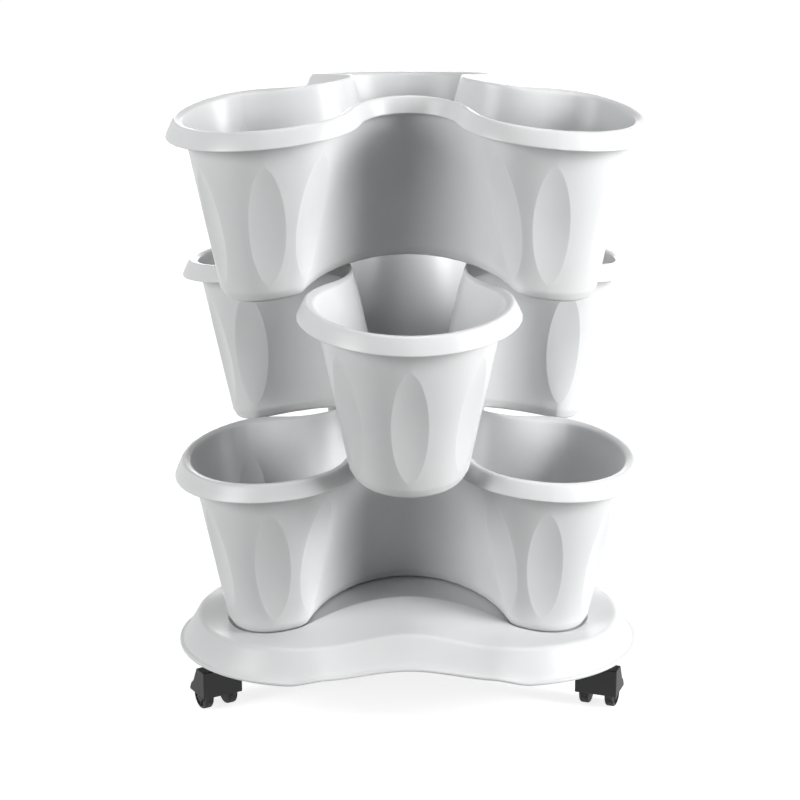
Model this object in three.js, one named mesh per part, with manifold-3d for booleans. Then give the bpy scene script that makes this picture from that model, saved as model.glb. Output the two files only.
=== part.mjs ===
// Vertical planter tower: three trefoil pots stacked on a wheeled tray with three swivel casters.
// Millimetres, +Z up, the floor at z = 0 and the tower's axis at x = y = 0. The front is -Y.
import * as THREE from 'three';
import { mergeGeometries, mergeVertices } from 'three/addons/utils/BufferGeometryUtils.js';
import Module from 'manifold-3d';

// fits shared by the pieces
const seatGap = 0.3;          // left between a piece and what it rests on
const webDip = 0.25;          // how far the flat faces of a pot's web dip below its curve
const runGap = 0.6;           // left round a turning wheel
const overrun = 2;            // how far a cut passes the face that it leaves through

// pots
const lobeReach = 123.6;      // tower axis to the middle of a lobe
const lobeBlend = 45;         // how far the tilted lobes melt into each other at the ridges
const rimSlope = 0.134;       // fall of the rim per unit outward
const footSlope = 0.22;       // fall of the foot per unit outward
const potDepth = 128.2;       // foot to the lip's lower edge, on the tower's axis
const lipHeight = 14.1;
const lipRadius = 93;         // lobe radius at the lip's lower edge
const lipCrestRadius = 85.5;
const lipThickness = 2.4;
const wallThickness = 2.5;
const wallTopRadius = 77.2;   // outside of the wall, level with the lip's lower edge
const footRadius = 49;        // outside of the wall, carried down to the foot
const footRounding = 7;
const flankShift = 33;        // lobe tip's radius less that of its flanks
const flankAngle = 75;        // where a lobe's tip passes into its flank, degrees from its axis
const lipBayReach = 67;       // tower axis to the bay between two lobes, at the lip's lower edge
const crestBayReach = 62;
const wallTopBayReach = 61;
const footBayReach = 33;
const fluteLength = 104;
const fluteWidth = 31;
const fluteDepth = 3;
const fluteRise = 68;         // foot to the flutes' middle
const fluteFullness = 0.6;    // power by which a flute widens from its pointed ends; 0.5 is an ellipse
const fluteAngles = [0, 53, 106];
const drainRadius = 3;
const drainCircle = 24;       // radius of the drain holes' circle about a lobe's middle
const drainCount = 3;

// wheeled tray
const trayClearance = 48;     // floor to the skirt's lower edge at the lobes
const trayThickness = 3;
const trayCrown = 48;         // skirt's lower edge to the recess floor, on the tower's axis
const trayReach = 101.5;
const trayRadius = 111.5;
const trayBend = 52;          // angle from a lobe's axis at which the skirt begins to rise
const trayBayHollow = 58;     // how much nearer the axis the bays lie than the lobes' tips
const trayBayReach = trayReach + trayRadius - trayBayHollow;
const skirtLifts = [0, 0, 4.5, 10.5];       // lower edge at a lobe's tip, the bend, the join, the bay
const skirtHeights = [24.5, 27.5, 28.5, 37.5];      // upper edge at the same places
const skirtInset = 16;        // skirt's lean, from its lower edge in to its upper edge
const skirtRounding = 3;
const beadHeight = 3;
const beadProud = 1.2;
const recessDepth = 3.2;
const recessFit = 0.8;        // left beside the lowest pot's foot
const recessBayReach = 74;

// casters
const casterInset = 23;       // a lobe's tip to a caster's stem
const casterReach = trayReach + trayRadius - casterInset;
const casterTrail = 6;        // stem to axle
const wheelRadius = 12;
const wheelWidth = 8.4;
const wheelSpread = 11.4;     // middle of the caster to the middle of a wheel
const wheelRounding = 2;
const wheelDish = 1.8;        // depth of the ring-shaped hollow in a wheel's outer face
const wheelRim = 2.4;
const hubRadius = 6;
const hoodWidth = 37;
const hoodFront = 8.6;        // stem to the hood's flat front
const hoodBottom = 13.7;      // floor to the hood's lower edge
const hoodTop = 38;
const hoodShell = 1.6;        // wall left over the wheels
const hoodBevel = 2;
const hoodShoulder = 6;       // stem to the back end of the hood's flat top
const stemRadius = 4;
const stemFlangeRadius = 5.8; // bears on the sleeve's lower end
const stemFlangeHeight = 1.6;
const stemGrip = 9.5;         // length of the stem inside the hood
const stemChamfer = 1;
const sleeveThickness = 1.6;
const sleeveLength = 17;
const socketWall = 4.4;
const axleRadius = 1.6;

// places worked out from the sizes above
const lobeCount = 3;
const lobeAngles = Array.from({ length: lobeCount }, (_, lobe) => lobe * 360 / lobeCount);
const bayAngle = 180 / lobeCount;
const quarterTurn = Math.PI / 2;
const axisBlend = lobeBlend * Math.log(lobeCount);
const socketBottom = hoodTop + seatGap + stemFlangeHeight + seatGap;
const stemHoleRadius = stemRadius + seatGap;
const sleeveRadius = stemHoleRadius + sleeveThickness;
const boreRadius = sleeveRadius + seatGap;
const axleHoleRadius = axleRadius + seatGap;

const potWhite = new THREE.MeshStandardMaterial({ color: 0xe9eaea, roughness: 0.34, metalness: 0 });
const trayWhite = new THREE.MeshStandardMaterial({ color: 0xe4e5e5, roughness: 0.38, metalness: 0 });
const casterBlack = new THREE.MeshStandardMaterial({ color: 0x1b1c1d, roughness: 0.45, metalness: 0 });
const wheelBlack = new THREE.MeshStandardMaterial({ color: 0x232425, roughness: 0.55, metalness: 0 });
const sleeveGrey = new THREE.MeshStandardMaterial({ color: 0x4a4c4e, roughness: 0.5, metalness: 0 });
const steel = new THREE.MeshStandardMaterial({ color: 0x9b9ea1, roughness: 0.3, metalness: 0.9 });

const rad = THREE.MathUtils.degToRad;
const { lerp } = THREE.MathUtils;

// A point on the plan at an angle and a distance.
function polar(degrees, distance) {
  return new THREE.Vector2(Math.cos(rad(degrees)) * distance, Math.sin(rad(degrees)) * distance);
}

// How far a point lies outward along its lobe's axis, melting from lobe to lobe at the ridges.
function outward(x, y) {
  let pull = 0;
  for (const angle of lobeAngles) {
    const way = polar(angle, 1);
    pull += Math.exp((x * way.x + y * way.y) / lobeBlend);
  }
  return lobeBlend * Math.log(pull) - axisBlend;
}

// Where points lie on each arc of half a lobe, as shares of the arc.
const tipShares = [0, 0.17, 0.34, 0.52, 0.707, 0.88];
const flankShares = [0, 0.22, 0.456, 0.7];
const bayShares = [0, 0.36, 0.7, 1];

const halfLobeArcCount = 3;

// Half a lobe's outline, from its axis to the middle of the bay: a tip arc, a tighter flank arc
// and the bay's hollow arc, each tangent to the next.
function halfOutline({ reach, tip, shift, bend, bay }) {
  const flank = tip - shift;
  const tipCentre = new THREE.Vector2(reach, 0);
  const flankCentre = polar(bend, shift).add(tipCentre);
  const bayWay = polar(bayAngle, 1);
  const inward = flankCentre.dot(bayWay);
  const aside = flankCentre.lengthSq() - inward * inward;
  const bayRadius = (aside + (bay - inward) ** 2 - flank ** 2) / (2 * (flank - bay + inward));
  const bayCentre = bayWay.multiplyScalar(bay + bayRadius);
  const join = THREE.MathUtils.radToDeg(bayCentre.clone().sub(flankCentre).angle());
  const arcs = [
    { shares: tipShares, centre: tipCentre, from: 0, to: bend, size: tip },
    { shares: flankShares, centre: flankCentre, from: bend, to: join, size: flank },
    { shares: bayShares, centre: bayCentre, from: join, to: bayAngle, size: -bayRadius },
  ];
  return arcs.flatMap(({ shares, centre, from, to, size }, arc) => shares.map((share) => {
    const angle = lerp(from, to, share);
    return { place: polar(angle, size).add(centre), angle, size, station: arc + share };
  }));
}

// A whole trefoil, counterclockwise. Each point keeps its place on its lobe, its way outward and
// the point beside it on the spine, the star of three lines from the tower's axis to the lobes.
function outline(shape) {
  const half = halfOutline(shape);
  const ring = [];
  for (const lobeAngle of lobeAngles) {
    for (const side of [-1, 1]) {
      const run = side < 0 ? half.slice(1).toReversed() : half.slice(0, -1);
      for (const { place, angle, size, station } of run) {
        const spot = new THREE.Vector2(place.x, side * place.y);
        spot.rotateAround(new THREE.Vector2(), rad(lobeAngle));
        const out = polar(lobeAngle + side * angle, 1);
        const beside = station < halfLobeArcCount ? Math.min(place.x, shape.reach) : 0;
        ring.push({ x: spot.x, y: spot.y, out, spine: polar(lobeAngle, beside), angle, size, station });
      }
    }
  }
  return ring;
}

// A closed body skinned over rings of equal count, of which the first and the last lie on a spine.
// Each panel between two rings folds along its shorter diagonal.
function skin(rings) {
  const count = rings[0].length;
  const points = rings.flat();
  const faces = [];
  for (let low = 0; low + count < points.length; low += count) {
    for (let step = 0; step < count; step += 1) {
      const next = (step + 1) % count;
      const [a, b, c, d] = [low + step, low + next, low + count + next, low + count + step];
      if (points[a].distanceTo(points[c]) < points[b].distanceTo(points[d])) faces.push(a, b, c, a, c, d);
      else faces.push(a, b, d, b, c, d);
    }
  }
  const loose = new THREE.BufferGeometry().setFromPoints(points);
  loose.setIndex(faces);
  const geometry = mergeVertices(loose);
  const corners = Array.from(geometry.getIndex().array);
  const kept = [];
  for (let face = 0; face < corners.length; face += 3) {
    const [a, b, c] = corners.slice(face, face + 3);
    if (a !== b && b !== c && c !== a) kept.push(a, b, c);
  }
  geometry.setIndex(kept);
  return geometry;
}

const wasm = await Module();
wasm.setup();
const { Manifold, Mesh: ManifoldMesh } = wasm;

// The solid that a closed geometry bounds, for cutting and joining.
function solid(geometry) {
  const bare = new THREE.BufferGeometry();
  bare.setAttribute('position', geometry.getAttribute('position'));
  bare.setIndex(geometry.getIndex());
  const welded = mergeVertices(bare);
  return new Manifold(new ManifoldMesh({
    numProp: 3,
    vertProperties: new Float32Array(welded.getAttribute('position').array),
    triVerts: new Uint32Array(welded.getIndex().array),
  }));
}

// The geometry of a solid that was cut or joined.
function geometryOf(manifold) {
  const mesh = manifold.getMesh();
  const geometry = new THREE.BufferGeometry();
  geometry.setAttribute('position', new THREE.Float32BufferAttribute(mesh.vertProperties, 3));
  geometry.setIndex(Array.from(mesh.triVerts));
  geometry.computeVertexNormals();
  return geometry;
}

// An upright round bar between two heights.
function bar(radius, bottom, top, sides, x = 0, y = 0) {
  const geometry = new THREE.CylinderGeometry(radius, radius, top - bottom, sides);
  return geometry.rotateX(quarterTurn).translate(x, y, (top + bottom) / 2);
}

// A round bar along X between two ends, at a place across it.
function crossBar(radius, from, to, sides, y = 0, z = 0) {
  const geometry = new THREE.CylinderGeometry(radius, radius, to - from, sides);
  return geometry.rotateZ(-quarterTurn).translate((from + to) / 2, y, z);
}

// POT, built with its foot at z = 0 on the axis and a lobe on +X.
const potShape = (tip, bay) => ({ reach: lobeReach, tip, shift: flankShift, bend: flankAngle, bay });
const potOutline = (tip, bay) => outline(potShape(tip, bay));
const footAt = (x, y) => -footSlope * outward(x, y);
const rimAt = (x, y) => potDepth - rimSlope * outward(x, y);

// Depth of the flutes at a point on a lobe, by its angle and radius there and its height.
function fluteAt(angle, radius, height) {
  const up = (height - fluteRise) / (fluteLength / 2);
  const room = 1 - up * up;
  if (room <= 0) return 0;
  const width = room ** fluteFullness;
  const depths = fluteAngles.map((centre) => {
    const across = (rad(angle - centre) * radius) / (fluteWidth / 2);
    return fluteDepth * (width * width - across * across);
  });
  return Math.max(0, ...depths);
}

// A ring of the wall at a share of its height, moved in by a thickness, its flutes pressed in.
function wallRing(share, inset) {
  const tip = lerp(footRadius, wallTopRadius, share) - inset;
  const bay = lerp(footBayReach, wallTopBayReach, share) - inset;
  return potOutline(tip, bay).map(({ x, y, out, angle, size, station }) => {
    const low = footAt(x, y);
    const z = lerp(low, rimAt(x, y), share);
    const depth = station < 2 ? fluteAt(angle, size + inset, z - low) : 0;
    return new THREE.Vector3(x - out.x * depth, y - out.y * depth, z);
  });
}

// A ring that keeps its height over the foot or the rim.
function evenRing(tip, bay, level, lift) {
  return potOutline(tip, bay).map(({ x, y }) => new THREE.Vector3(x, y, level(x, y) + lift));
}

// The spine of a ring, where a floor's two halves meet.
function spineRing(tip, bay, level, lift) {
  return potOutline(tip, bay).map(({ spine: { x, y } }) => new THREE.Vector3(x, y, level(x, y) + lift));
}

const flatRadius = footRadius - footRounding;
const flatBay = footBayReach - footRounding;
const wallShares = [0.055, 0.2, 0.48, 0.72, 0.9];
const lipUnderShare = 0.55;
const lipShoulderShare = 0.8;   // of the lip's height, up its straight face
const lipShoulderInShare = 0.64;     // of the way in from the lip's lower edge to its crest, at the shoulder

function potGeometry() {
  const corner = footRounding * (1 - Math.SQRT1_2);
  const floorRadius = flatRadius - wallThickness;
  const floorBay = flatBay - wallThickness;
  const lipUnder = lipHeight * lipUnderShare;
  const lipShoulder = lipHeight * lipShoulderShare;
  const shoulderRadius = lerp(lipRadius, lipCrestRadius, lipShoulderInShare);
  const shoulderBay = lerp(lipBayReach, crestBayReach, lipShoulderInShare);
  const topRadius = wallTopRadius + (lipUnder * (wallTopRadius - footRadius)) / potDepth;
  const topBay = wallTopBayReach + (lipUnder * (wallTopBayReach - footBayReach)) / potDepth;
  const rings = [
    spineRing(flatRadius, flatBay, footAt, 0),
    evenRing(flatRadius, flatBay, footAt, 0),
    evenRing(footRadius - corner, footBayReach - corner, footAt, corner),
    ...wallShares.map((share) => wallRing(share, 0)),
    evenRing(topRadius, topBay, rimAt, lipUnder),
    evenRing(lipCrestRadius, crestBayReach, rimAt, lipUnder),
    evenRing(lipRadius - lipThickness, lipBayReach - lipThickness, rimAt, 0),
    evenRing(lipRadius, lipBayReach, rimAt, 0),
    evenRing(shoulderRadius, shoulderBay, rimAt, lipShoulder),
    evenRing(lipCrestRadius, crestBayReach, rimAt, lipHeight),
    evenRing(topRadius, topBay, rimAt, lipHeight - wallThickness),
    ...wallShares.toReversed().map((share) => wallRing(share, wallThickness)),
    evenRing(floorRadius, floorBay, footAt, wallThickness),
    spineRing(floorRadius, floorBay, footAt, wallThickness),
  ];
  const drains = [];
  for (const lobeAngle of lobeAngles) {
    for (let hole = 0; hole < drainCount; hole += 1) {
      const spread = polar(lobeAngle + (hole * 360) / drainCount, drainCircle);
      const { x, y } = polar(lobeAngle, lobeReach).add(spread);
      const level = footAt(x, y);
      drains.push(bar(drainRadius, level - overrun, level + wallThickness + overrun, 8, x, y));
    }
  }
  return geometryOf(solid(skin(rings)).subtract(solid(mergeGeometries(drains))));
}

// Rise from one pot's foot to the next: the web of the upper foot rests on the rim between lobes.
const restHeights = halfOutline(potShape(lipCrestRadius, crestBayReach)).map(({ place }) => {
  const above = place.clone().rotateAround(new THREE.Vector2(), -rad(bayAngle));
  const rise = rimAt(place.x, place.y) + lipHeight - footAt(above.x, above.y);
  return Math.abs(above.y) < footBayReach ? rise : 0;
});
const tierPitch = Math.max(...restHeights) + webDip + seatGap;

// TRAY, built with the skirt's lower edge at z = 0 and a lobe on +X.
const recessAt = (x, y) => trayCrown + footAt(x, y);

// A height at a station of the outline, melting from one height of a list to the next.
function heightAt(heights, station) {
  const arc = Math.min(Math.floor(station), heights.length - 2);
  return lerp(heights[arc], heights[arc + 1], THREE.MathUtils.smoothstep(station - arc, 0, 1));
}

// A ring of the skirt, moved in from the lower edge, at a lift from a list of heights.
function skirtRing(inset, heights, lift) {
  const tip = trayRadius - inset;
  const shape = { reach: trayReach, tip, shift: 0, bend: trayBend, bay: trayBayReach - inset };
  return outline(shape).map(({ x, y, station }) => (
    new THREE.Vector3(x, y, heightAt(heights, station) + lift)
  ));
}

// The outline of the recess, grown by a thickness, at a lift from its floor.
function recessRing(grow, lift) {
  return evenRing(footRadius + recessFit + grow, recessBayReach + grow, recessAt, lift);
}

// The tray's upper side from the skirt in to the recess floor, lowered by a drop. The floor has the
// same facets as the foot that stands on it.
function trayTop(drop) {
  return [
    skirtRing(skirtInset - skirtRounding / 2, skirtHeights, -skirtRounding / 2 - drop),
    skirtRing(skirtInset + skirtRounding, skirtHeights, -drop),
    recessRing(0, recessDepth - drop),
    recessRing(0, -drop),
    evenRing(flatRadius, flatBay, recessAt, -drop),
    spineRing(flatRadius, flatBay, recessAt, -drop),
  ];
}

function trayGeometry() {
  const socketDrop = socketBottom - trayClearance;
  const rings = [
    spineRing(flatRadius, flatBay, recessAt, -trayThickness),
    evenRing(flatRadius, flatBay, recessAt, -trayThickness),
    recessRing(trayThickness, -trayThickness),
    skirtRing(skirtInset + skirtRounding, skirtHeights, -trayThickness),
    skirtRing(trayThickness, skirtLifts, 0),
    skirtRing(-beadProud, skirtLifts, 0),
    skirtRing(-beadProud, skirtLifts, beadHeight),
    skirtRing((skirtInset * beadHeight) / skirtHeights[0], skirtLifts, beadHeight),
    ...trayTop(0),
  ];
  const shell = solid(skin(rings));

  // the sockets are cut from a filled tray, so that they end inside the shell
  const middle = trayThickness / 2;
  const base = skirtRing(middle, skirtLifts.map(() => socketDrop), 0);
  const baseSpine = spineRing(flatRadius, flatBay, () => socketDrop, -overrun);
  const filled = solid(skin([baseSpine, base, ...trayTop(middle)]));
  const sockets = [];
  const bores = [];
  for (const lobeAngle of lobeAngles) {
    const { x, y } = polar(lobeAngle, casterReach);
    sockets.push(bar(boreRadius + socketWall, socketDrop, trayCrown, 24, x, y));
    bores.push(bar(boreRadius, socketDrop - overrun, socketDrop + sleeveLength + seatGap, 24, x, y));
  }
  const posts = filled.intersect(solid(mergeGeometries(sockets)));
  return geometryOf(shell.add(posts).subtract(solid(mergeGeometries(bores))));
}

// CASTER, built round its stem at x = y = 0 on the floor, with the axle along X and trailing +Y.
function hoodGeometry() {
  const half = hoodWidth / 2;
  const shellRadius = wheelRadius + runGap + hoodShell;
  const side = new THREE.Shape();
  side.moveTo(-hoodFront, hoodBottom);
  const lowest = Math.asin((hoodBottom - wheelRadius) / shellRadius);
  side.lineTo(casterTrail + shellRadius * Math.cos(lowest), hoodBottom);
  side.absarc(casterTrail, wheelRadius, shellRadius, lowest, rad(bayAngle), false);
  side.lineTo(hoodShoulder, hoodTop);
  side.lineTo(-hoodFront + hoodBevel, hoodTop);
  side.lineTo(-hoodFront, hoodTop - hoodBevel);
  side.closePath();
  const block = new THREE.ExtrudeGeometry(side, { depth: hoodWidth, bevelEnabled: false, curveSegments: 10 });
  block.rotateY(quarterTurn).rotateX(quarterTurn).translate(-half, 0, 0);

  const pocketRadius = wheelRadius + runGap;
  const inner = wheelSpread - wheelWidth / 2 - runGap;
  const outer = wheelSpread + wheelWidth / 2 + runGap;
  const cuts = [
    bar(stemHoleRadius, hoodTop - stemGrip - seatGap, hoodTop + overrun, 16),
    crossBar(axleHoleRadius, -outer, outer, 12, casterTrail, wheelRadius),
  ];
  for (const [from, to] of [[inner, outer], [-outer, -inner]]) {
    const mouth = new THREE.BoxGeometry(to - from, 2 * pocketRadius, wheelRadius + overrun);
    mouth.translate((from + to) / 2, casterTrail, (wheelRadius - overrun) / 2);
    cuts.push(crossBar(pocketRadius, from, to, 24, casterTrail, wheelRadius), mouth);
  }
  const boss = crossBar(axleHoleRadius + hoodShell, -inner, inner, 16, casterTrail, wheelRadius);
  const hollow = cuts.map(solid).reduce((sum, cut) => sum.add(cut));
  return geometryOf(solid(block).add(solid(boss)).subtract(hollow));
}

function wheelGeometry() {
  const half = wheelWidth / 2;
  const rimInner = wheelRadius - wheelRim;
  const profile = [
    [axleHoleRadius, -half], [wheelRadius - wheelRounding, -half], [wheelRadius, -half + wheelRounding],
    [wheelRadius, half - wheelRounding], [wheelRadius - wheelRounding, half], [rimInner, half],
    [rimInner, half - wheelDish], [hubRadius, half - wheelDish], [hubRadius, half],
    [axleHoleRadius, half], [axleHoleRadius, -half],
  ].map(([radius, place]) => new THREE.Vector2(radius, place));
  return new THREE.LatheGeometry(profile, 20).rotateZ(-quarterTurn);
}

function stemGeometry() {
  const bottom = hoodTop - stemGrip;
  const flange = hoodTop + seatGap;
  const top = socketBottom + sleeveLength - seatGap;
  const profile = [
    [0, bottom], [stemRadius, bottom], [stemRadius, flange], [stemFlangeRadius, flange],
    [stemFlangeRadius, flange + stemFlangeHeight], [stemRadius, flange + stemFlangeHeight],
    [stemRadius, top - stemChamfer], [stemRadius - stemChamfer, top], [0, top],
  ].map(([radius, height]) => new THREE.Vector2(radius, height));
  return new THREE.LatheGeometry(profile, 16).rotateX(quarterTurn);
}

function sleeveGeometry() {
  const top = socketBottom + sleeveLength;
  const profile = [
    [stemHoleRadius, socketBottom], [sleeveRadius, socketBottom], [sleeveRadius, top],
    [stemHoleRadius, top], [stemHoleRadius, socketBottom],
  ].map(([radius, height]) => new THREE.Vector2(radius, height));
  return new THREE.LatheGeometry(profile, 16).rotateX(quarterTurn);
}

// ASSEMBLY
function piece(name, geometry, material) {
  const mesh = new THREE.Mesh(geometry, material);
  mesh.name = name;
  return mesh;
}

const tower = new THREE.Group();

const tray = piece('wheeled_tray', trayGeometry(), trayWhite);
tray.position.z = trayClearance;
tray.rotation.z = quarterTurn;
tower.add(tray);

const potBody = potGeometry();
const lowestFoot = trayClearance + trayCrown + seatGap;
['lower_pot', 'middle_pot', 'upper_pot'].forEach((name, tier) => {
  const pot = piece(name, potBody, potWhite);
  pot.position.z = lowestFoot + tier * tierPitch;
  pot.rotation.z = quarterTurn - (tier % 2) * rad(bayAngle);
  tower.add(pot);
});

const hoodBody = hoodGeometry();
const wheelBody = wheelGeometry();
const stemBody = stemGeometry();
const sleeveBody = sleeveGeometry();
const axleEnd = wheelSpread + wheelWidth / 2 - seatGap;
const axleBody = crossBar(axleRadius, -axleEnd, axleEnd, 12);
const casterPlaces = [
  { name: 'front_left', angle: 210, trail: 120 },
  { name: 'front_right', angle: 330, trail: 70 },
  { name: 'back', angle: 90, trail: 0 },
];
for (const { name, angle, trail } of casterPlaces) {
  const caster = new THREE.Group();
  const { x, y } = polar(angle, casterReach);
  caster.position.set(x, y, 0);
  caster.rotation.z = rad(trail) - quarterTurn;
  caster.add(piece(`${name}_caster_hood`, hoodBody, casterBlack));
  caster.add(piece(`${name}_caster_stem`, stemBody, steel));
  caster.add(piece(`${name}_caster_sleeve`, sleeveBody, sleeveGrey));
  const axle = new THREE.Group();
  axle.position.set(0, casterTrail, wheelRadius);
  axle.add(piece(`${name}_caster_axle`, axleBody, steel));
  for (const [side, label] of [[-1, 'wheel_a'], [1, 'wheel_b']]) {
    const wheel = piece(`${name}_caster_${label}`, wheelBody, wheelBlack);
    wheel.position.x = side * wheelSpread;
    wheel.rotation.y = side < 0 ? Math.PI : 0;
    axle.add(wheel);
  }
  caster.add(axle);
  tower.add(caster);
}

export default tower;
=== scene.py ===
import math

import bmesh
import bpy
from mathutils import Matrix, Vector


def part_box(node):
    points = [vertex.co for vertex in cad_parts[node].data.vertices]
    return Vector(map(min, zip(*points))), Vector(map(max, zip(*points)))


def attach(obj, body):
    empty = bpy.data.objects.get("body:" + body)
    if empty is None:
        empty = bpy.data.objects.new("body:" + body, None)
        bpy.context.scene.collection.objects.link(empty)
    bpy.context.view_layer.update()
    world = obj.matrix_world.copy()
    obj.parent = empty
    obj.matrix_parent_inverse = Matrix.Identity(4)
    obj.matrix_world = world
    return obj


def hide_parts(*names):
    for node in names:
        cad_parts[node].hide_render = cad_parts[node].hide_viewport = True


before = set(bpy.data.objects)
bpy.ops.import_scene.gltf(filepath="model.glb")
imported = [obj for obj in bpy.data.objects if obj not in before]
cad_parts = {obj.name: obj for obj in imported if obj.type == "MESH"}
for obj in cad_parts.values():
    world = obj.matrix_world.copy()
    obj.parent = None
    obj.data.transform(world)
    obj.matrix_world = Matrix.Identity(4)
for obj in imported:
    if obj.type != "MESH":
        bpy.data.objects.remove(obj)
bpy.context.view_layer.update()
scene = bpy.context.scene
mm = 0.001
print("frame loaded:", len(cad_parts), "nodes")


class Signal:  # one output of a shader node, on which sums are written as in plain Python
    def __init__(self, shader, socket):
        self.shader = shader
        self.socket = socket

    def maths(self, operation, *terms):
        return self.shader.node("ShaderNodeMath", {"operation": operation}, dict(enumerate(terms)))

    def __add__(self, other):
        return self.maths("ADD", self, other)

    def __sub__(self, other):
        return self.maths("SUBTRACT", self, other)

    def __rsub__(self, other):
        return self.maths("SUBTRACT", other, self)

    def __mul__(self, other):
        return self.maths("MULTIPLY", self, other)

    __radd__ = __add__
    __rmul__ = __mul__

    def ramp(self, low, high):  # 0 below low, 1 above high, smooth between
        values = {"Value": self, "From Min": low, "From Max": high}
        return self.shader.node("ShaderNodeMapRange", {"interpolation_type": "SMOOTHSTEP"}, values)


mixFactor, mixFirst, mixSecond, mixResult = 0, 6, 7, 2  # a Mix node's sockets when it mixes colours


class Shader:  # a material's tree; node() adds any kind of node
    def __init__(self, name, constants):
        self.material = bpy.data.materials.new(name)
        self.material.use_nodes = True
        self.tree = self.material.node_tree
        self.surface = self.tree.nodes["Principled BSDF"]
        for socket, value in constants.items():
            self.surface.inputs[socket].default_value = value
        self.place = self.node("ShaderNodeTexCoord", output="Object")

    def node(self, kind, settings=None, values=None, output=0):
        made = self.tree.nodes.new(kind)
        for name, value in (settings or {}).items():
            setattr(made, name, value)
        for name, value in (values or {}).items():
            if isinstance(value, Signal):
                self.tree.links.new(value.socket, made.inputs[name])
            else:
                made.inputs[name].default_value = value
        return Signal(self, made.outputs[output])

    def stretched(self, way):  # the object's own coordinates, scaled along each axis
        return self.node("ShaderNodeVectorMath", {"operation": "MULTIPLY"}, {0: self.place, 1: way})

    def noise(self, scale, detail=2.0, roughness=0.5, way=None):
        vector = self.stretched(way) if way else self.place
        values = {"Vector": vector, "Scale": scale, "Detail": detail, "Roughness": roughness}
        return self.node("ShaderNodeTexNoise", {}, values)

    def mark(self, name):  # a value that the mesh code stored on its points
        return self.node("ShaderNodeAttribute", {"attribute_name": name}, output="Fac")

    def blend(self, mask, first, second):
        values = {mixFactor: mask, mixFirst: first, mixSecond: second}
        return self.node("ShaderNodeMix", {"data_type": "RGBA"}, values, output=mixResult)

    def bump(self, height, distance, strength=1.0, under=None):
        values = {"Height": height, "Distance": distance, "Strength": strength}
        if under:
            values["Normal"] = under
        return self.node("ShaderNodeBump", {}, values, output="Normal")

    def feed(self, **links):
        sockets = {"colour": "Base Color", "roughness": "Roughness", "normal": "Normal"}
        for name, value in links.items():
            self.tree.links.new(value.socket, self.surface.inputs[sockets[name]])
        return self.material


# scales are in cells per metre and depths in metres
whitePlastic = {
    "pale": (0.7, 0.705, 0.71, 1),
    "grey": (0.665, 0.671, 0.677, 1),    # where the melt cooled last
    "rubbed": (0.8, 0.805, 0.81, 1),     # painted shade low down, in corners and under the lip, with a few specks of dust
    "dust": (0.66, 0.65, 0.62, 1),       # settled low down and in corners
    "roughness": 0.36,
    "cloud": 14, "flow": 9,              # soft patches, and upright streaks of the melt
    "speck": 900, "scuff": 260,
    "grain": 1500, "grainDepth": 0.00002,  # satin texture
    "ripple": 22, "rippleDepth": 0.0005,   # slow waves of a thin moulding
}


def satinPlastic(name, look):
    shader = Shader(name, {"IOR": 1.49, "Specular IOR Level": 0.5})
    cloud = shader.noise(look["cloud"], 4, 0.6)
    flow = shader.noise(look["flow"], 3, 0.55, way=(1.0, 1.0, 0.28))
    speck = shader.noise(look["speck"], 2, 0.7).ramp(0.68, 0.8)
    scuff = shader.noise(look["scuff"], 3, 0.6, way=(1.0, 0.25, 2.2)).ramp(0.6, 0.76)
    rub = shader.mark("rub")
    paintedShade = shader.mark("paintedShade")
    # the mark darkens corners, recesses and the lip's underside: painted shade, plus a few random
    # specks of dust
    shadeAndSpecks = (paintedShade * cloud.ramp(0.3, 0.7)) * 0.35 + speck * 0.02
    tone = shader.blend((cloud * 0.6 + flow * 0.4).ramp(0.35, 0.68), look["pale"], look["grey"])
    tone = shader.blend(rub * 0.35, tone, look["rubbed"])
    tone = shader.blend(shadeAndSpecks, tone, look["dust"])
    roughness = look["roughness"] + (cloud - 0.5) * 0.07 + scuff * 0.035 - rub * 0.07 + paintedShade * 0.08
    grain = shader.noise(look["grain"], 2, 0.6)
    ripple = shader.noise(look["ripple"], 1, 0.4)
    normal = shader.bump(ripple, look["rippleDepth"], 0.35)
    normal = shader.bump(grain, look["grainDepth"], 0.5, under=normal)
    return shader.feed(colour=tone, roughness=roughness, normal=normal)


blackPlastic = {
    "dark": (0.009, 0.0093, 0.0096, 1),
    "worn": (0.03, 0.031, 0.032, 1),
    "dust": (0.16, 0.15, 0.135, 1),
    "roughness": 0.44,
    "cloud": 60, "tread": 300,
    "grain": 2600, "grainDepth": 0.00004,  # spark-eroded texture
    "scratch": 420, "scratchDepth": 0.00003,
}


def texturedPlastic(name, look):
    shader = Shader(name, {"IOR": 1.5, "Specular IOR Level": 0.35})
    cloud = shader.noise(look["cloud"], 3, 0.6)
    grain = shader.noise(look["grain"], 3, 0.65)
    rub = shader.mark("rub")
    tread = shader.mark("tread")
    scratch = shader.noise(look["scratch"], 2, 0.6, way=(0.2, 1.0, 2.6)).ramp(0.63, 0.75)
    wear = rub * 0.5 + cloud.ramp(0.55, 0.8) * 0.12 + scratch * 0.12
    grit = tread * shader.noise(look["tread"], 4, 0.7).ramp(0.42, 0.62) * 0.45
    tone = shader.blend(grit, shader.blend(wear, look["dark"], look["worn"]), look["dust"])
    roughness = look["roughness"] + grain * 0.12 - rub * 0.12 + tread * 0.16 + scratch * 0.05
    normal = shader.bump(grain, look["grainDepth"], 0.6)
    normal = shader.bump(scratch, look["scratchDepth"], 0.4, under=normal)
    return shader.feed(colour=tone, roughness=roughness, normal=normal)


turnedSteel = {
    "bright": (0.62, 0.62, 0.61, 1),
    "dull": (0.40, 0.40, 0.395, 1),
    "roughness": 0.3,
    "spangle": 420, "haze": 160,
    "grooves": 1400, "grooveDepth": 0.00003,  # turning marks
}


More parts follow.
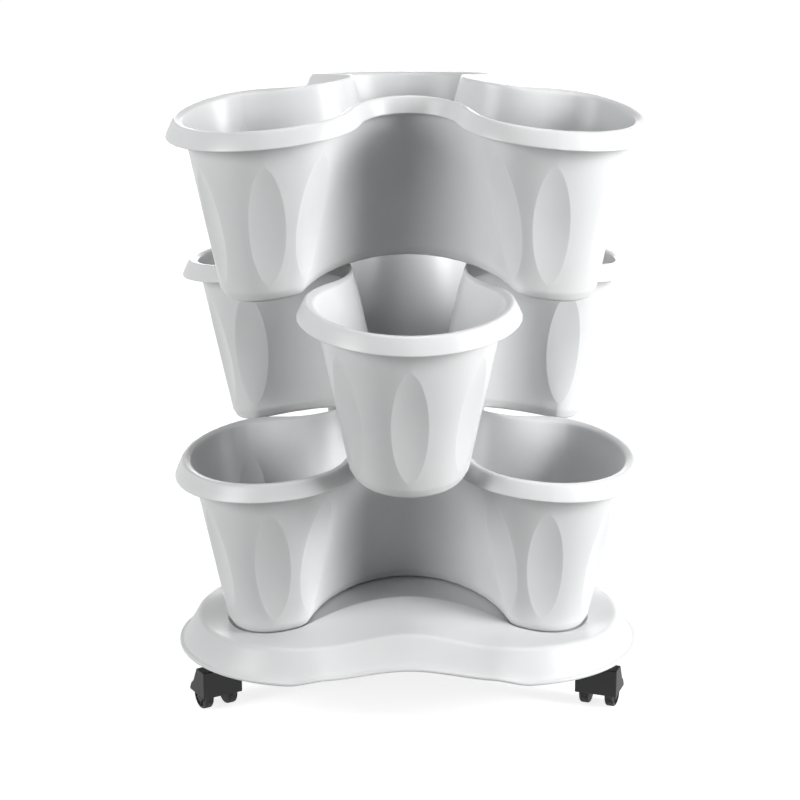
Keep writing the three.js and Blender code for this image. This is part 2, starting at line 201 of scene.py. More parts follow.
def turnedMetal(name, look):
    shader = Shader(name, {"Metallic": 1.0})
    cells = {"Vector": shader.place, "Scale": look["spangle"]}
    spangle = shader.node("ShaderNodeTexVoronoi", {"feature": "F1"}, cells)
    haze = shader.noise(look["haze"], 3, 0.6)
    rings = shader.noise(look["grooves"], 1, 0.5, way=(0.05, 0.05, 1.0))
    tone = shader.blend((haze * 0.6 + spangle * 0.4).ramp(0.25, 0.75), look["bright"], look["dull"])
    roughness = look["roughness"] + (haze - 0.5) * 0.16 + rings * 0.06
    normal = shader.bump(rings, look["grooveDepth"], 0.5)
    return shader.feed(colour=tone, roughness=roughness, normal=normal)


wheelPlastic = {**blackPlastic, "dark": (0.012, 0.0123, 0.0126, 1), "roughness": 0.5}
potWhite = satinPlastic("potWhite", whitePlastic)
trayWhite = satinPlastic("trayWhite", {**whitePlastic, "roughness": 0.4, "ripple": 16})
casterBlack = texturedPlastic("casterBlack", blackPlastic)
wheelBlack = texturedPlastic("wheelBlack", wheelPlastic)
sleeveGrey = texturedPlastic("sleeveGrey", {**blackPlastic, "dark": (0.07, 0.072, 0.075, 1)})
casterSteel = turnedMetal("casterSteel", turnedSteel)
print("finishes made")


# outlines are in millimetres, with a lobe on +X
def polar(degrees, distance):
    angle = math.radians(degrees)
    return Vector((math.cos(angle) * distance, math.sin(angle) * distance))


def turned(place, degrees):
    way = polar(degrees, 1)
    return Vector((place.x * way.x - place.y * way.y, place.x * way.y + place.y * way.x))


def mix(low, high, share):
    return low + (high - low) * share


lobeAngles = (0, 120, 240)
bayAngle = 60


class HalfLobe:  # the line from a lobe's tip to the bay's middle: tip arc, flank arc, hollow arc
    def __init__(self, reach, tip, shift, bend, bay):
        flank = tip - shift
        tipCentre = Vector((reach, 0))
        flankCentre = tipCentre + polar(bend, shift)
        bayWay = polar(bayAngle, 1)
        inward = flankCentre.dot(bayWay)
        aside = flankCentre.length_squared - inward ** 2
        bayRadius = (aside + (bay - inward) ** 2 - flank ** 2) / (2 * (flank - bay + inward))
        bayCentre = bayWay * (bay + bayRadius)
        toBay = bayCentre - flankCentre
        join = math.degrees(math.atan2(toBay.y, toBay.x))
        self.reach = reach
        self.arcs = [  # centre, first angle, last angle, radius
            (tipCentre, 0, bend, tip),
            (flankCentre, bend, join, flank),
            (bayCentre, join, bayAngle, -bayRadius),
        ]
        self.lengths = [math.radians(abs(end - start)) * abs(size) for _, start, end, size in self.arcs]

    def at(self, arc, share):  # a place on an arc and its way out
        centre, start, end, size = self.arcs[arc]
        angle = mix(start, end, share)
        return centre + polar(angle, size), polar(angle, 1), arc < 2 or share < 1

    def along(self, length):
        for arc, span in enumerate(self.lengths):
            if length <= span or arc == 2:
                return self.at(arc, min(1, length / span))
            length -= span

    def lengthTo(self, degrees):  # from the tip to an angle on its tip or flank arc
        (_, _, bend, tip), (_, _, _, flank), _ = self.arcs
        return math.radians(min(degrees, bend)) * tip + math.radians(max(0, degrees - bend)) * flank


def wholeRow(half):  # six mirrored halves, counterclockwise; each point is (place, out, spine, extra)
    row = []
    for lobeAngle in lobeAngles:
        for side in (-1, 1):
            run = half[:0:-1] if side < 0 else half[:-1]
            for place, out, spine, extra in run:
                row.append((
                    turned(Vector((place.x, side * place.y)), lobeAngle),
                    turned(Vector((out.x, side * out.y)), lobeAngle),
                    polar(lobeAngle, spine), extra,
                ))
    return row


pot = {  # in millimetres and degrees
    "lobeReach": 123.6, "lobeBlend": 45,  # where a lobe's centre stands, and how softly lobes merge
    "depth": 128.2, "rimSlope": 0.134, "footSlope": 0.22,
    "footRadius": 49, "footBay": 33, "footRounding": 7,
    "wallTopRadius": 77.2, "wallTopBay": 61, "wall": 2.5,
    "flankShift": 33, "flankAngle": 75,   # a flank's radius is this much less, from this angle on
    "lipHeight": 14.1, "lipUnder": 7.75, "crestBay": 62,
    "fluteLength": 104, "fluteWidth": 31, "fluteDepth": 3, "fluteRise": 68, "fluteTaper": 0.6,
    "fluteAngles": (0, 53, 106),
    "fluteEdge": 0.5,                     # half the width of a flute's softened edge
    "drainRadius": 3, "drainCircle": 24, "drains": 3, "drainSides": 24,
    # mesh steps from a lobe's tip past each flute's edges to the bay's middle
    "columns": (4, 1, 1, 7, 1, 1, 4, 4, 1, 1, 5, 1, 1, 4, 4, 1, 1, 8),
    "cornerSteps": 7, "floorSteps": 6,
}
# the lip's underside: tip radius, bay reach, height over the rim line, rub, painted shade
lipUnderside = [
    (84.9, 62, 7.75, 0, 0.3), (85.7, 62.2, 7.05, 0, 0), (90.2, 64.4, 1.2, 0, 0),
    (90.7, 64.8, 0.25, 0.5, 0), (91.3, 65.3, 0, 0.3, 0),
]
# the lip's outside, crest and inner edge: tip radius, bay reach, height over the rim line, rub
lipFace = [
    (92.1, 66.1, 0.0, 0), (92.75, 66.75, 0.25, 0.6), (93, 67, 0.9, 1), (92.75, 66.8, 1.7, 0.3),
    (91.3, 65.85, 5, 0), (89.6, 64.7, 8.6, 0), (88.3, 63.9, 11.1, 0.1), (87.6, 63.4, 12.4, 0.4),
    (86.8, 62.8, 13.4, 0.8), (85.7, 62.1, 13.95, 1), (84.4, 61.8, 13.95, 0.8), (82.9, 61.7, 13.55, 0.2),
    (80.8, 61.75, 12.75, 0), (79.8, 61.8, 12.2, 0.4), (79.1, 61.75, 11.5, 0.8), (78.7, 61.6, 10.6, 0.4),
    (78.1, 61.1, 8.4, 0), (76.5, 59.6, 3, 0),
]
# the wall's rows as shares of its height, closer together where the flutes end
wallShares = [
    0.06, 0.08, 0.1, 0.115, 0.13, 0.15, 0.17, 0.2, 0.24, 0.29, 0.34, 0.4, 0.46, 0.52, 0.58, 0.64,
    0.69, 0.73, 0.76, 0.785, 0.8, 0.815, 0.83, 0.845, 0.86, 0.88, 0.91, 0.95,
]


def outward(place):
    pull = sum(math.exp(place.dot(polar(angle, 1)) / pot["lobeBlend"]) for angle in lobeAngles)
    return pot["lobeBlend"] * math.log(pull / 3)


def footAt(place):
    return -pot["footSlope"] * outward(place)


def rimAt(place):
    return pot["depth"] - pot["rimSlope"] * outward(place)


def footLine(grow, bay):  # a pot's outline near its foot
    tip = pot["footRadius"] + grow
    return HalfLobe(pot["lobeReach"], tip, pot["flankShift"], pot["flankAngle"], bay)


def potRow(tip, bay, share=None):
    # a row with its columns gathered at the flutes' edges; its extra is (flute depth, edge mark)
    line = HalfLobe(pot["lobeReach"], tip, pot["flankShift"], pot["flankAngle"], bay)
    edge, halfWidth = pot["fluteEdge"], pot["fluteWidth"] / 2
    flutes = []
    for degrees in pot["fluteAngles"]:
        centre = line.lengthTo(degrees)
        place = line.along(centre)[0]
        width = 0
        if share is not None:
            rise = share * (rimAt(place) - footAt(place)) - pot["fluteRise"]
            up = rise / (pot["fluteLength"] / 2)
            width = max(0, 1 - up * up) ** pot["fluteTaper"]
        flutes.append((centre, width))
    stops = []
    for centre, width in flutes:
        half = max(width * halfWidth, 2 * edge)
        for side in (-1, 1):
            stops += [centre + side * half + step for step in (-edge, 0, edge)]
        stops.append(centre)
    stops = sorted(stop for stop in stops if stop >= 0) + [sum(line.lengths)]
    lengths = [0]
    for low, high, count in zip(stops, stops[1:], pot["columns"]):
        lengths += [mix(low, high, (step + 1) / count) for step in range(count)]
    points = []
    for length in lengths:
        place, out, onLobe = line.along(length)
        depth = 0
        for centre, width in flutes:
            across = (length - centre) / halfWidth
            depth = max(depth, pot["fluteDepth"] * (width * width - across * across))
        gaps = [abs(abs(length - centre) - width * halfWidth) for centre, width in flutes if width]
        atEdge = math.exp(-min(gaps)) if gaps else 0
        spine = min(place.x, pot["lobeReach"]) if onLobe else 0
        points.append((place, out, spine, (depth, atEdge)))
    return wholeRow(points)


def wallRow(share, inset):
    tip = mix(pot["footRadius"], pot["wallTopRadius"], share)
    bay = mix(pot["footBay"], pot["wallTopBay"], share)
    paintedShade = max(0, 0.25 - share) * 2  # painted shade, darker towards the bottom of the wall
    row = []
    for place, out, _, (depth, atEdge) in potRow(tip, bay, share):
        spot = place - out * (inset + depth)
        height = mix(footAt(spot), rimAt(spot), share)
        rub = atEdge * (0.2 if inset else 0.5)  # the inside is handled less
        row.append((spot.x, spot.y, height, rub, paintedShade))
    return row


def evenRow(tip, bay, level, lift, rub=0.0, paintedShade=0.0):
    return [(p.x, p.y, level(p) + lift, rub, paintedShade) for p, _, _, _ in potRow(tip, bay)]


def floorRows(tip, bay, lift, paintedShade):  # from a floor's edge in to its spine
    rows = []
    edge = potRow(tip, bay)
    for step in range(pot["floorSteps"] + 1):
        spots = [place.lerp(spine, step / pot["floorSteps"]) for place, _, spine, _ in edge]
        rows.append([(spot.x, spot.y, footAt(spot) + lift, 0.0, paintedShade) for spot in spots])
    return rows


def skinned(name, rows, material):  # a closed piece over rows of equal count, with its marks
    mesh = bpy.data.meshes.new(name)
    count = len(rows[0])
    points = [point for row in rows for point in row]
    faces = []
    for low in range(0, len(points) - count, count):
        for step in range(count):
            after = (step + 1) % count
            faces.append((low + step, low + after, low + count + after, low + count + step))
    mesh.from_pydata([(x * mm, y * mm, z * mm) for x, y, z, _, _ in points], [], faces)
    for index, markName in ((3, "rub"), (4, "paintedShade")):
        layer = mesh.attributes.new(markName, "FLOAT", "POINT")
        layer.data.foreach_set("value", [point[index] for point in points])
    merged(mesh, 0.002)
    return placed(name, mesh, material)


def merged(mesh, reach):  # points closer than the reach become one, and all faces look outwards
    cage = bmesh.new()
    cage.from_mesh(mesh)
    bmesh.ops.remove_doubles(cage, verts=cage.verts, dist=reach * mm)
    bmesh.ops.recalc_face_normals(cage, faces=cage.faces)
    cage.to_mesh(mesh)
    cage.free()


def linked(name, mesh):
    piece = bpy.data.objects.new(name, mesh)
    scene.collection.objects.link(piece)
    return piece


def placed(name, mesh, material):
    mesh.materials.clear()
    mesh.materials.append(material)
    mesh.polygons.foreach_set("use_smooth", [True] * len(mesh.polygons))
    return linked(name, mesh)


def settled(piece):  # the piece with its modifiers worked into its mesh
    finished = piece.evaluated_get(bpy.context.evaluated_depsgraph_get())
    shape = bpy.data.meshes.new_from_object(finished)
    old = piece.data
    piece.modifiers.clear()
    piece.data = shape
    shape.name = old.name
    bpy.data.meshes.remove(old)
    return piece


def roundBars(name, bars, sides):  # upright bars: x, y, radius, bottom, top
    cage = bmesh.new()
    for x, y, radius, bottom, top in bars:
        place = Matrix.Translation((x * mm, y * mm, (bottom + top) / 2 * mm))
        bmesh.ops.create_cone(
            cage, cap_ends=True, segments=sides, radius1=radius * mm, radius2=radius * mm,
            depth=(top - bottom) * mm, matrix=place,
        )
    mesh = bpy.data.meshes.new(name)
    cage.to_mesh(mesh)
    cage.free()
    return linked(name, mesh)


def combined(piece, tool, operation):  # the tool joined to the piece or cut out of it, then removed
    work = piece.modifiers.new("work", "BOOLEAN")
    work.operation = operation
    work.solver = "EXACT"
    work.object = tool
    settled(piece)
    bpy.data.objects.remove(tool)
    return piece


def potPiece():
    radius, bay, rounding = pot["footRadius"], pot["footBay"], pot["footRounding"]
    wall, under = pot["wall"], pot["lipUnder"]
    flat, flatBay = radius - rounding, bay - rounding
    corner = []
    for step in range(1, pot["cornerSteps"]):  # the foot's rounding, as a quarter circle
        angle = math.radians(90 * step / pot["cornerSteps"])
        corner.append((rounding * (1 - math.sin(angle)), rounding * (1 - math.cos(angle))))
    top = pot["wallTopRadius"] + under * (pot["wallTopRadius"] - radius) / pot["depth"]
    topBay = pot["wallTopBay"] + under * (pot["wallTopBay"] - bay) / pot["depth"]
    # the last mark in the floor, foot, lip and inner corner rows paints shade into them
    rows = floorRows(flat, flatBay, 0, 0.5)[::-1]
    rows += [evenRow(radius - aside, bay - aside, footAt, up, 0.2, 0.5) for aside, up in corner]
    rows += [wallRow(share, 0) for share in wallShares]
    rows += [  # a small fillet where the wall meets the lip
        evenRow(top, topBay, rimAt, under - 0.6, 0, 0.3),
        evenRow(top + 0.6, topBay + 0.4, rimAt, under, 0, 0.3),
    ]
    rows += [evenRow(tip, reach, rimAt, lift, *marks) for tip, reach, lift, *marks in lipUnderside]
    rows += [evenRow(tip, reach, rimAt, lift, rub) for tip, reach, lift, rub in lipFace]
    rows += [wallRow(share, wall) for share in wallShares[::-1]]
    for aside, up in corner[::-1]:  # the same rounding inside, raised to the floor's upper face
        lift = up + wall * (1 - up / rounding)
        rows.append(evenRow(radius - aside - wall, bay - aside - wall, footAt, lift, 0, 0.8))
    rows += floorRows(flat - wall, flatBay - wall, wall, 0.6)
    piece = skinned("pot", rows, potWhite)
    bars = []
    for lobeAngle in lobeAngles:
        for hole in range(pot["drains"]):
            spread = polar(lobeAngle + hole * 360 / pot["drains"], pot["drainCircle"])
            spot = polar(lobeAngle, pot["lobeReach"]) + spread
            level = footAt(spot)
            bars.append((spot.x, spot.y, pot["drainRadius"], level - 2, level + wall + 2))
    return combined(piece, roundBars("drains", bars, pot["drainSides"]), "DIFFERENCE")


def facing(low, high):  # a lobe points to the back if the box reaches further there, else to the front
    return Matrix.Rotation(math.radians(90 if high.y > -low.y else 30), 4, "Z")


crestDrop = pot["rimSlope"] * outward(polar(bayAngle, pot["crestBay"]))
crestRise = pot["depth"] + pot["lipHeight"] - crestDrop
master = potPiece()
for tier in ("lower", "middle", "upper"):
    low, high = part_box(f"{tier}_pot")
    mesh = master.data.copy()
    mesh.transform(Matrix.Translation((0, 0, high.z - crestRise * mm)) @ facing(low, high))
    piece = placed(f"{tier}Pot", mesh, potWhite)
    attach(piece, f"{tier}_pot")
    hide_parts(f"{tier}_pot")
bpy.data.objects.remove(master)
print("pots made:", len(mesh.polygons), "faces each")


tray = {
    "reach": 101.5, "radius": 111.5, "bend": 52, "bayReach": 155,
    "lifts": (0, 0, 4.5, 10.5),          # the skirt's lower edge at tip, bend, join and bay
    "heights": (24.5, 27.5, 28.5, 37.5),   # its upper edge at the same places
    "inset": 16, "rounding": 3, "wall": 3,
    "beadHeight": 3, "beadProud": 1.2,
    "crown": 48, "recessDepth": 3.2, "recessFit": 0.8, "recessBay": 74,
    "seat": 0.3,                         # the gap left under the lower pot
    "columns": (18, 12, 14),             # along the tip, flank and hollow arcs of half a lobe
    "skirtShares": (0.2, 0.4, 0.6, 0.8, 0.95),
    "crownShares": (0.06, 0.16, 0.27, 0.38, 0.5, 0.62, 0.74, 0.86, 0.96),
}


def trayColumns(line):
    points = []
    for arc, count in enumerate(tray["columns"]):
        for step in range(count + (arc == 2)):
            share = step / count
            place, out, onLobe = line.at(arc, share)
            points.append((place, out, min(place.x, line.reach) if onLobe else 0, arc + share))
    return wholeRow(points)


def heightAt(heights, station):  # eased from each of the four heights to the next
    arc = min(int(station), len(heights) - 2)
    share = station - arc
    return mix(heights[arc], heights[arc + 1], share * share * (3 - 2 * share))


def skirtRow(inset, heights, lift, rub=0.0, paintedShade=0.0):
    tip, bay = tray["radius"] - inset, tray["bayReach"] - inset
    line = HalfLobe(tray["reach"], tip, 0, tray["bend"], bay)
    row = []
    for place, _, _, station in trayColumns(line):
        row.append((place.x, place.y, heightAt(heights, station) + lift, rub, paintedShade))
    return row


def crownAt(place):  # the floor of the recess, parallel to the pot's foot
    return tray["crown"] + footAt(place)


def recessRow(grow, lift, rub=0.0, paintedShade=0.0):
    line = footLine(tray["recessFit"] + grow, tray["recessBay"] + grow)
    return [(p.x, p.y, crownAt(p) + lift, rub, paintedShade) for p, _, _, _ in trayColumns(line)]


def between(first, second, shares):  # rows part of the way from one row to another
    pairs = list(zip(first, second))
    return [[tuple(mix(a, b, share) for a, b in zip(*pair)) for pair in pairs] for share in shares]


def trayFloorRows(lift, paintedShade):
    edge = trayColumns(footLine(-pot["footRounding"], pot["footBay"] - pot["footRounding"]))
    rows = []
    for step in range(pot["floorSteps"] + 1):
        spots = [place.lerp(spine, step / pot["floorSteps"]) for place, _, spine, _ in edge]
        rows.append([(spot.x, spot.y, crownAt(spot) + lift, 0.0, paintedShade) for spot in spots])
    return rows


def trayPiece():
    bead, proud, depth = tray["beadHeight"], tray["beadProud"], tray["recessDepth"]
    inset, wall, rounding = tray["inset"], tray["wall"], tray["rounding"]
    lifts, heights = tray["lifts"], tray["heights"]
    lean = inset / heights[0]
    # the last mark in the groove, recess and floor rows paints shade into them
    crease = [  # the rounded break between skirt and crown
        skirtRow(inset - rounding * 0.55, heights, -rounding * 0.9),
        skirtRow(inset - rounding * 0.1, heights, -rounding * 0.42, 0.5),
        skirtRow(inset + rounding * 0.4, heights, -rounding * 0.12, 0.6),
        skirtRow(inset + rounding, heights, 0),
    ]
    recessEdge = [
        recessRow(0.9, depth), recessRow(0.25, depth - 0.25, 0.6), recessRow(0, depth - 0.9, 0, 0.5),
    ]
    beadRows = [  # from the lower edge up its face and into the groove over it
        skirtRow(0.9 - proud, lifts, 0), skirtRow(0.2 - proud, lifts, 0.25, 0.5),
        skirtRow(-proud, lifts, 0.9, 1), skirtRow(-proud, lifts, bead - 0.9, 1),
        skirtRow(0.25 - proud, lifts, bead - 0.2, 0.5),
        skirtRow(lean * bead - 0.5, lifts, bead, 0, 0.4),
        skirtRow(lean * bead, lifts, bead + 0.4, 0, 0.4),
        skirtRow(lean * (bead + 1.5), lifts, bead + 1.5),
    ]
    innerTop = recessRow(wall, -wall)
    innerSkirt = skirtRow(inset + rounding, heights, -wall)
    innerEdge = skirtRow(wall, lifts, 0.9)
    rows = trayFloorRows(-wall, 0.3)[::-1]
    rows += [innerTop, *between(innerTop, innerSkirt, (0.25, 0.5, 0.75)), innerSkirt]
    rows += [*between(innerSkirt, innerEdge, (0.03, 0.3, 0.6, 0.9)), innerEdge]
    rows += [skirtRow(wall - 0.9, lifts, 0), *beadRows]
    rows += [*between(beadRows[-1], crease[0], tray["skirtShares"]), *crease]
    rows += [*between(crease[-1], recessEdge[0], tray["crownShares"]), *recessEdge]
    rows += [recessRow(0, 0.5, 0, 0.7), recessRow(-0.6, 0, 0, 0.8), *trayFloorRows(0, 0.6)]
    return skinned("tray", rows, trayWhite)


socket = {"radius": 10.7, "top": 66, "bore": 6.2, "boreHeight": 17.3, "sides": 48}
casterNames = ("front_left", "front_right", "back")
blank = trayPiece()
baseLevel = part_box("lower_pot")[1].z - (crestRise + tray["seat"] + tray["crown"]) * mm
blank.data.transform(Matrix.Translation((0, 0, baseLevel)) @ facing(*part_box("wheeled_tray")))
posts, bores = [], []
for corner in casterNames:
    low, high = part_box(f"{corner}_caster_sleeve")
    x, y, bottom = (low.x + high.x) / 2 / mm, (low.y + high.y) / 2 / mm, low.z / mm
    posts.append((x, y, socket["radius"], bottom, socket["top"]))
    bores.append((x, y, socket["bore"], bottom - 2, bottom + socket["boreHeight"]))
combined(blank, roundBars("posts", posts, socket["sides"]), "UNION")
combined(blank, roundBars("bores", bores, socket["sides"]), "DIFFERENCE")
piece = placed("wheeledTray", blank.data.copy(), trayWhite)
bpy.data.objects.remove(blank)
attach(piece, "base")
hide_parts("wheeled_tray")
print("tray made:", len(piece.data.polygons), "faces")


caster = {  # built round its stem, with the axle along X and trailing +Y, in millimetres
    "trail": 6, "wheelRadius": 12, "wheelWidth": 8.4, "wheelSpread": 11.4,
    "hoodWidth": 37, "hoodFront": 8.6, "hoodBottom": 13.7, "hoodTop": 38, "hoodShoulder": 6,
    "hoodShell": 1.6, "hoodBend": 60, "hoodSteps": 12,
    "runGap": 0.6, "soften": 1.1, "edge": 0.25, "bossRadius": 3.5,
    "spokes": 6, "spokeSize": (1.2, 1.3, 4.5), "spokePlace": (2.95, 0, 7.6), "spokeEdge": 0.2,
    "pocketSides": 48, "bossSides": 32, "wheelSides": 64, "stemSides": 40, "axleSides": 28,
}


def lathed(name, profile, sides, along, marks=None):
    # a turned piece about "X" or "Z"; the profile is (radius, place), and marks go point by point
    points = []
    for radius, place in profile:
        for side in range(sides):
            across = polar(360 * side / sides, radius)
            points.append((place, *across) if along == "X" else (*across, place))
    faces = []
    last = (len(profile) - 1) * sides
    for low in range(0, last, sides):
        for side in range(sides):
            after = (side + 1) % sides
            faces.append((low + side, low + after, low + sides + after, low + sides + side))
    if profile[0] != profile[-1]:
        faces.append(tuple(range(sides))[::-1])
        faces.append(tuple(last + side for side in range(sides)))
    mesh = bpy.data.meshes.new(name)
    mesh.from_pydata([(x * mm, y * mm, z * mm) for x, y, z in points], [], faces)
    for markName, values in (marks or {}).items():
        layer = mesh.attributes.new(markName, "FLOAT", "POINT")
        layer.data.foreach_set("value", [value for value in values for _ in range(sides)])
    merged(mesh, 0.001)
    return mesh


def sharpened(mesh, degrees):  # edges that turn more than this stay crisp
    mesh.set_sharp_from_angle(angle=math.radians(degrees))
    return mesh


def softened(piece, width, segments, limit):
    bevel = piece.modifiers.new("soften", "BEVEL")
    bevel.width = width * mm
    bevel.segments = segments
    bevel.limit_method = "ANGLE"
    bevel.angle_limit = math.radians(limit)
    bevel.harden_normals = True
    return settled(piece)


def boxAt(name, low, high):
    cage = bmesh.new()
    bmesh.ops.create_cube(cage, size=1)
    size = [(b - a) * mm for a, b in zip(low, high)]
    middle = [(a + b) / 2 * mm for a, b in zip(low, high)]
    cage.transform(Matrix.Translation(middle) @ Matrix.Diagonal((*size, 1)))
    mesh = bpy.data.meshes.new(name)
    cage.to_mesh(mesh)
    cage.free()
    return linked(name, mesh)


def hoodPiece():
    half = caster["hoodWidth"] / 2
    trail, radius = caster["trail"], caster["wheelRadius"]
    shell = radius + caster["runGap"] + caster["hoodShell"]
    lowest = math.degrees(math.asin((caster["hoodBottom"] - radius) / shell))
    outline = [(-caster["hoodFront"], caster["hoodBottom"])]
    for step in range(caster["hoodSteps"] + 1):
        spot = polar(mix(lowest, caster["hoodBend"], step / caster["hoodSteps"]), shell)
        outline.append((trail + spot.x, radius + spot.y))
    outline.append((caster["hoodShoulder"], caster["hoodTop"]))
    outline.append((-caster["hoodFront"], caster["hoodTop"]))
    cage = bmesh.new()
    ends = [[cage.verts.new((x * mm, y * mm, z * mm)) for y, z in outline] for x in (-half, half)]
    cage.faces.new(ends[0])
    cage.faces.new(ends[1][::-1])
    for step in range(len(outline)):
        after = (step + 1) % len(outline)
        cage.faces.new((ends[0][step], ends[1][step], ends[1][after], ends[0][after]))
    bmesh.ops.recalc_face_normals(cage, faces=cage.faces)
    mesh = bpy.data.meshes.new("hood")
    cage.to_mesh(mesh)
    cage.free()
    piece = placed("hood", mesh, casterBlack)
    softened(piece, caster["soften"], 4, 25)
    inner = caster["wheelSpread"] - caster["wheelWidth"] / 2 - caster["runGap"]
    outer = caster["wheelSpread"] + caster["wheelWidth"] / 2 + caster["runGap"]
    pocket = radius + caster["runGap"]
    toAxle = Matrix.Translation((0, trail * mm, radius * mm))
    for low, high in ((inner, outer), (-outer, -inner)):  # a wheel's pocket and the mouth under it
        mesh = lathed("pocket", [(pocket, low), (pocket, high)], caster["pocketSides"], "X")
        mesh.transform(toAxle)
        combined(piece, placed("pocket", mesh, casterBlack), "DIFFERENCE")
        mouth = boxAt("mouth", (low, trail - pocket, -2), (high, trail + pocket, radius))
        combined(piece, mouth, "DIFFERENCE")
    ends = [(caster["bossRadius"], -inner), (caster["bossRadius"], inner)]
    mesh = lathed("boss", ends, caster["bossSides"], "X")
    mesh.transform(toAxle)
    combined(piece, placed("boss", mesh, casterBlack), "UNION")
    softened(piece, caster["edge"], 2, 40)
    return piece


# profiles are (radius, place along the axis)
wheelProfile = [
    (1.9, -4.2), (7.2, -4.2), (9.6, -4.2), (10.4, -4.15), (11.1, -3.9), (11.7, -3.4), (11.95, -2.7),
    (12, -2), (12, -0.7), (12, 0.7), (12, 2), (11.95, 2.7), (11.7, 3.4), (11.1, 3.9), (10.4, 4.15),
    (9.9, 4.2), (9.7, 4.1), (9.6, 3.8), (9.55, 2.7), (9.3, 2.5), (5.9, 2.5), (5.6, 2.65), (5.5, 3.1),
    (5.5, 3.9), (5.4, 4.1), (5.2, 4.2), (1.9, 4.2), (1.9, -4.2),
]
stemProfile = [
    (0.01, 28.5), (3.4, 28.5), (4, 29.1), (4, 37.9), (4.3, 38.3), (5.6, 38.3), (5.8, 38.5), (5.8, 39.7),
    (5.6, 39.9), (4.3, 39.9), (4, 40.2), (4, 46), (3.75, 46.3), (3.75, 48.2), (4, 48.5), (4, 55.6),
    (3.9, 56), (3, 56.9), (0.01, 56.9),
]
sleeveProfile = [
    (4.3, 40.6), (4.6, 40.2), (5.6, 40.2), (5.9, 40.6), (5.9, 44), (5.7, 44.3), (5.7, 46.2),
    (5.9, 46.5), (5.9, 56.8), (5.6, 57.2), (4.6, 57.2), (4.3, 56.8), (4.3, 40.6),
]
axleProfile = [(0.01, -15.3), (1.3, -15.3), (1.6, -15), (1.6, 15), (1.3, 15.3), (0.01, 15.3)]


def wheelMesh():
    marks = {
        "tread": [1.0 if radius > 11.6 else 0.0 for radius, _ in wheelProfile],
        "rub": [0.7 if 10 < radius < 11.9 else 0.0 for radius, _ in wheelProfile],
    }
    mesh = lathed("wheel", wheelProfile, caster["wheelSides"], "X", marks)
    size = Matrix.Diagonal((*[width * mm for width in caster["spokeSize"]], 1))
    place = Matrix.Translation([step * mm for step in caster["spokePlace"]])
    cage = bmesh.new()
    cage.from_mesh(mesh)
    for spoke in range(caster["spokes"]):  # low ribs across the ring-shaped hollow
        turn = Matrix.Rotation(math.radians(360 * spoke / caster["spokes"]), 4, "X")
        made = bmesh.ops.create_cube(cage, size=1, matrix=turn @ place @ size)
        edges = list({edge for vert in made["verts"] for edge in vert.link_edges})
        bevel = {"offset": caster["spokeEdge"] * mm, "segments": 2, "profile": 0.5}
        bmesh.ops.bevel(cage, geom=edges, affect="EDGES", **bevel)
    cage.to_mesh(mesh)
    cage.free()
    return sharpened(mesh, 40)


hood = hoodPiece()
for corner in casterNames:
    wheels = [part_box(f"{corner}_caster_wheel_{side}") for side in ("a", "b")]
    centres = [(low + high) / 2 for low, high in wheels]
    stemLow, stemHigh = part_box(f"{corner}_caster_stem")
    stemPlace = (stemLow + stemHigh) / 2
    across = (centres[1] - centres[0]).normalized()
    turn = Matrix.Rotation(math.atan2(across.y, across.x), 4, "Z")
    stand = Matrix.Translation((stemPlace.x, stemPlace.y, 0)) @ turn
    stem = sharpened(lathed("stem", stemProfile, caster["stemSides"], "Z"), 50)
    sleeve = sharpened(lathed("sleeve", sleeveProfile, caster["stemSides"], "Z"), 50)
    axle = sharpened(lathed("axle", axleProfile, caster["axleSides"], "X"), 50)
    axle.transform(Matrix.Translation((0, caster["trail"] * mm, caster["wheelRadius"] * mm)))
    pieces = [
        ("hood", hood.data.copy(), casterBlack, f"{corner}_swivel", "caster_plastic"),
        ("stem", stem, casterSteel, f"{corner}_swivel", "steel"),
        ("sleeve", sleeve, sleeveGrey, "base", "sleeve_plastic"),
        ("axle", axle, casterSteel, f"{corner}_swivel", "steel"),
    ]
    for side, label in ((-1, "wheel_a"), (1, "wheel_b")):
        wheel = wheelMesh()
        face = Matrix.Rotation(math.pi if side < 0 else 0, 4, "Z")
        spot = (side * caster["wheelSpread"] * mm, caster["trail"] * mm, caster["wheelRadius"] * mm)
        wheel.transform(Matrix.Translation(spot) @ face)
        pieces.append((label, wheel, wheelBlack, f"{corner}_{label}", "wheel_plastic"))
    for label, mesh, material, body, slotName in pieces:
        mesh.transform(stand)
        piece = placed(f"{corner}_{label}", mesh, material)
        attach(piece, body)
        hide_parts(f"{corner}_caster_{label}")
bpy.data.objects.remove(hood)
print("casters made")


studio = {
    "floorSeen": 0.6,                    # the floor's own tone, as the camera sees it
    "glowNear": 0.8, "glowFar": 1.0,     # and its glow, which rises from the object outwards
    "glowFrom": 0.5, "glowTo": 3.0,      # distances at which that rise begins and ends
    "floorBounce": 0.05,                 # what it throws back onto the object
    "floorSize": 30,
    "ambient": 0.0,
    "aim": (0, 0, 0.27),                 # the middle of the tower
    "lamps": [  # azimuth from the front towards the right, elevation, distance, width, height, power
        ("keyRight", 70, 12, 3.0, 1.2, 1.8, 106),
        ("keyHigh", 68, 28, 3.0, 1.2, 1.2, 30),
        ("fillLeft", -57, 14, 3.0, 1.2, 1.8, 66),
        ("above", 0, 85, 3.0, 1.4, 1.4, 22),
        ("behind", 180, 5, 3.2, 1.6, 1.2, 30),
    ],
}


class Surround(Shader):  # the floor's or the world's tree, which only Light Path divides
    def __init__(self, owner):
        owner.use_nodes = True
        self.tree = owner.node_tree
        self.tree.nodes.clear()

    def seen(self):  # 1 for the camera, for mirror images and through glass
        path = self.node("ShaderNodeLightPath", output="Is Camera Ray")
        rays = path.socket.node.outputs
        glossy, clear = Signal(self, rays["Is Glossy Ray"]), Signal(self, rays["Is Transmission Ray"])
        return path.maths("MAXIMUM", path, glossy.maths("MAXIMUM", glossy, clear))

    def finish(self, kind, signal):
        end = self.tree.nodes.new(kind)
        self.tree.links.new(signal.socket, end.inputs["Surface"])


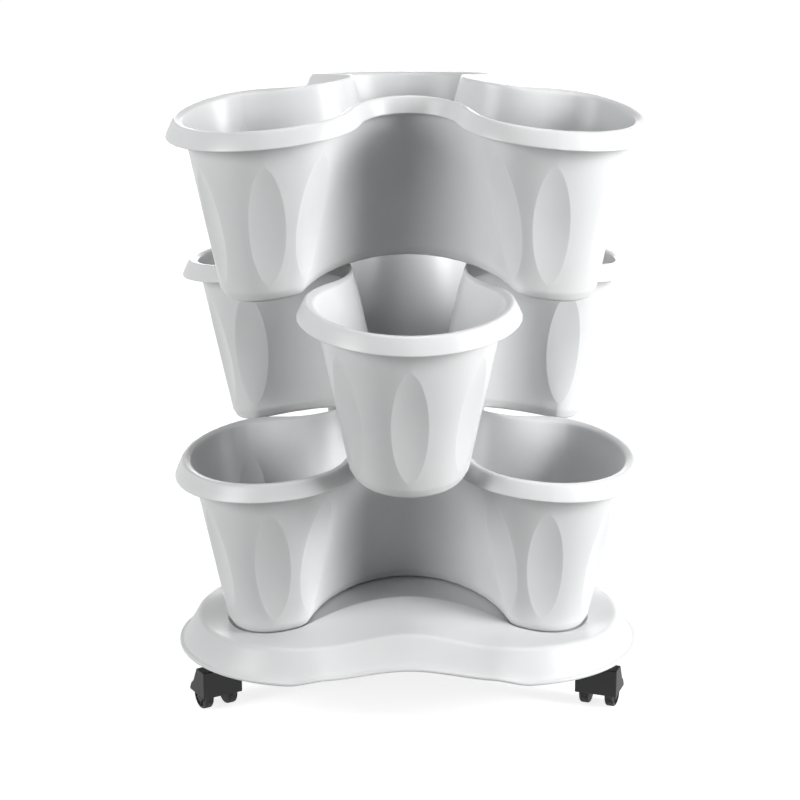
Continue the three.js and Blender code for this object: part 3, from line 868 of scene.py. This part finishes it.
def studioGrey(name):
    return (*[studio[name]] * 3, 1)


def plainFloor():
    material = bpy.data.materials.new("floorPaper")
    tree = Surround(material)
    seen = tree.seen()
    paper = tree.blend(seen, studioGrey("floorBounce"), studioGrey("floorSeen"))
    dull = tree.node("ShaderNodeBsdfDiffuse", {}, {"Color": paper})
    place = tree.node("ShaderNodeTexCoord", output="Object")
    far = tree.node("ShaderNodeVectorMath", {"operation": "LENGTH"}, {0: place}, output="Value")
    rise = far.ramp(studio["glowFrom"], studio["glowTo"])
    shine = tree.blend(rise, studioGrey("glowNear"), studioGrey("glowFar"))
    glow = tree.node("ShaderNodeEmission", {}, {"Color": shine, "Strength": seen})
    tree.finish("ShaderNodeOutputMaterial", tree.node("ShaderNodeAddShader", {}, {0: dull, 1: glow}))
    cage = bmesh.new()
    bmesh.ops.create_grid(cage, x_segments=4, y_segments=4, size=studio["floorSize"] / 2)
    mesh = bpy.data.meshes.new("floor")
    cage.to_mesh(mesh)
    cage.free()
    placed("floor", mesh, material)


def whiteAir():
    scene.world = bpy.data.worlds.new("studioAir")
    tree = Surround(scene.world)
    level = tree.seen() * (1 - studio["ambient"]) + studio["ambient"]
    air = tree.node("ShaderNodeBackground", {}, {"Color": (1, 1, 1, 1), "Strength": level})
    tree.finish("ShaderNodeOutputWorld", air)


plainFloor()
whiteAir()

for name, azimuth, elevation, distance, width, height, power in studio["lamps"]:
    data = bpy.data.lights.new(name, "AREA")
    data.shape = "RECTANGLE"
    data.size = width
    data.size_y = height
    data.energy = power
    side = polar(azimuth - 90, math.cos(math.radians(elevation)))
    way = Vector((side.x, side.y, math.sin(math.radians(elevation))))
    lamp = linked(name, data)
    lamp.location = Vector(studio["aim"]) + way * distance
    lamp.rotation_euler = way.to_track_quat("Z", "Y").to_euler()

view = {  # fitted to the rims and feet in the photo
    "focal": 101.47, "sensor": 36, "clipEnd": 100,
    "pitch": 16.435, "turn": -0.416, "place": (-0.00667, -1.90308, 0.8113),
}
camera = linked("camera", bpy.data.cameras.new("camera"))
camera.data.lens = view["focal"]
camera.data.sensor_width = view["sensor"]
camera.data.clip_end = view["clipEnd"]
spin = Matrix.Rotation(math.radians(view["turn"]), 4, "Z")
tilt = Matrix.Rotation(math.radians(90 - view["pitch"]), 4, "X")
camera.matrix_world = spin @ Matrix.Translation(view["place"]) @ tilt
scene.camera = camera
scene.view_settings.view_transform = "Standard"
print("studio made")
